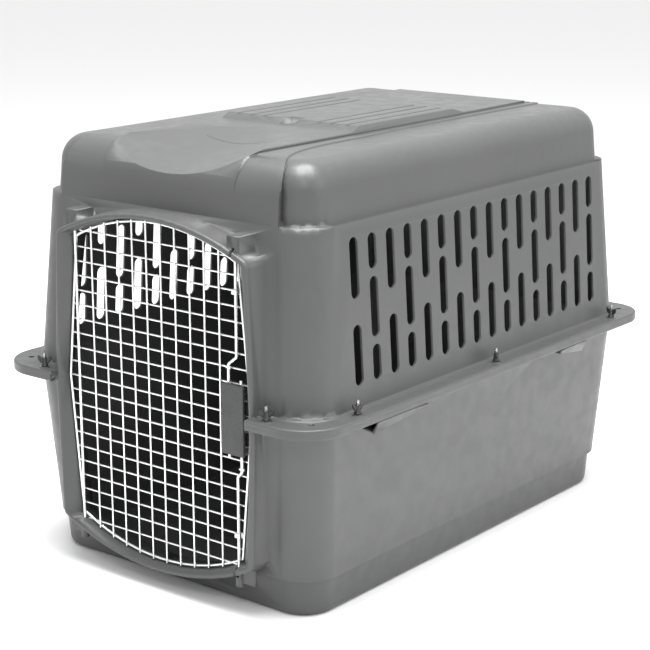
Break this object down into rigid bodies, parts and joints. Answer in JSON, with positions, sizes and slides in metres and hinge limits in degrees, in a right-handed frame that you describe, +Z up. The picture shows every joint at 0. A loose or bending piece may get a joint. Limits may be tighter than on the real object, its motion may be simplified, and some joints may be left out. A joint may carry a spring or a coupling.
{
  "type": "pet transport carrier",
  "caption": "Large hard-sided pet transport carrier: vented top and bottom shells bolted at a rim, with a hinged wire door, a squeeze latch and wing nuts.",
  "frame": {"origin": "on the ground under the middle of the rim's plan", "axes": "+Z up, +Y from the door to the back, +X to the right seen from the front"},
  "size_m": [0.698, 1.016, 0.737],
  "materials": {
    "shell_plastic": "lightly grained, satin",
    "door_wire": "bright plated wire",
    "latch_plastic": "fine texture",
    "spring_steel": "drawn",
    "bolt_steel": "zinc plated",
    "nut_plastic": "black moulded"
  },
  "bodies": {
    "shell": {"bottom_shell": "shell_plastic", "top_shell": "shell_plastic", "rim_bolts": "bolt_steel", "rim_washers": "bolt_steel"},
    "door": {"door_perimeter_wire": "door_wire", "door_vertical_wires": "door_wire", "door_horizontal_wires": "door_wire", "hinge_rod": "door_wire", "latch_front_plate": "latch_plastic", "latch_back_plate": "latch_plastic", "latch_upper_spring": "spring_steel", "latch_lower_spring": "spring_steel", "upper_rod_guide": "bolt_steel", "lower_rod_guide": "bolt_steel"},
    "upper_latch": {"latch_upper_rod": "door_wire"},
    "lower_latch": {"latch_lower_rod": "door_wire"},
    "wing_nut_01": {"wing_nut_01": "nut_plastic"},
    "wing_nut_02": {"wing_nut_02": "nut_plastic"},
    "wing_nut_03": {"wing_nut_03": "nut_plastic"},
    "wing_nut_04": {"wing_nut_04": "nut_plastic"},
    "wing_nut_05": {"wing_nut_05": "nut_plastic"},
    "wing_nut_06": {"wing_nut_06": "nut_plastic"},
    "wing_nut_07": {"wing_nut_07": "nut_plastic"},
    "wing_nut_08": {"wing_nut_08": "nut_plastic"},
    "wing_nut_09": {"wing_nut_09": "nut_plastic"},
    "wing_nut_10": {"wing_nut_10": "nut_plastic"}
  },
  "joints": [
    {"name": "door_hinge", "type": "hinge", "parent": "shell", "child": "door", "pos_m": [-0.1743, -0.477, 0.328], "axis": [0, 0, -1], "range_deg": [0, 120]},
    {"name": "upper_latch_slide", "type": "slide", "parent": "door", "child": "upper_latch", "axis": [0, 0, -1], "range_m": [0, 0.02], "stiffness_N_per_m": 150, "springref_m": -0.012, "deforming": ["latch_upper_spring"]},
    {"name": "lower_latch_slide", "type": "slide", "parent": "door", "child": "lower_latch", "axis": [0, 0, 1], "range_m": [0, 0.018], "stiffness_N_per_m": 150, "springref_m": -0.012, "deforming": ["latch_lower_spring"]},
    {"name": "wing_nut_01_turn", "type": "hinge", "parent": "shell", "child": "wing_nut_01", "pos_m": [-0.244, -0.491, 0.343], "axis": [0, 0, 1], "continuous": true},
    {"name": "wing_nut_02_turn", "type": "hinge", "parent": "shell", "child": "wing_nut_02", "pos_m": [-0.332, -0.378, 0.343], "axis": [0, 0, 1], "continuous": true},
    {"name": "wing_nut_03_turn", "type": "hinge", "parent": "shell", "child": "wing_nut_03", "pos_m": [-0.332, 0.007, 0.343], "axis": [0, 0, 1], "continuous": true},
    {"name": "wing_nut_04_turn", "type": "hinge", "parent": "shell", "child": "wing_nut_04", "pos_m": [-0.332, 0.397, 0.343], "axis": [0, 0, 1], "continuous": true},
    {"name": "wing_nut_05_turn", "type": "hinge", "parent": "shell", "child": "wing_nut_05", "pos_m": [-0.2, 0.491, 0.343], "axis": [0, 0, 1], "continuous": true},
    {"name": "wing_nut_06_turn", "type": "hinge", "parent": "shell", "child": "wing_nut_06", "pos_m": [0.244, -0.491, 0.343], "axis": [0, 0, 1], "continuous": true},
    {"name": "wing_nut_07_turn", "type": "hinge", "parent": "shell", "child": "wing_nut_07", "pos_m": [0.332, -0.378, 0.343], "axis": [0, 0, 1], "continuous": true},
    {"name": "wing_nut_08_turn", "type": "hinge", "parent": "shell", "child": "wing_nut_08", "pos_m": [0.332, 0.007, 0.343], "axis": [0, 0, 1], "continuous": true},
    {"name": "wing_nut_09_turn", "type": "hinge", "parent": "shell", "child": "wing_nut_09", "pos_m": [0.332, 0.397, 0.343], "axis": [0, 0, 1], "continuous": true},
    {"name": "wing_nut_10_turn", "type": "hinge", "parent": "shell", "child": "wing_nut_10", "pos_m": [0.2, 0.491, 0.343], "axis": [0, 0, 1], "continuous": true}
  ]
}
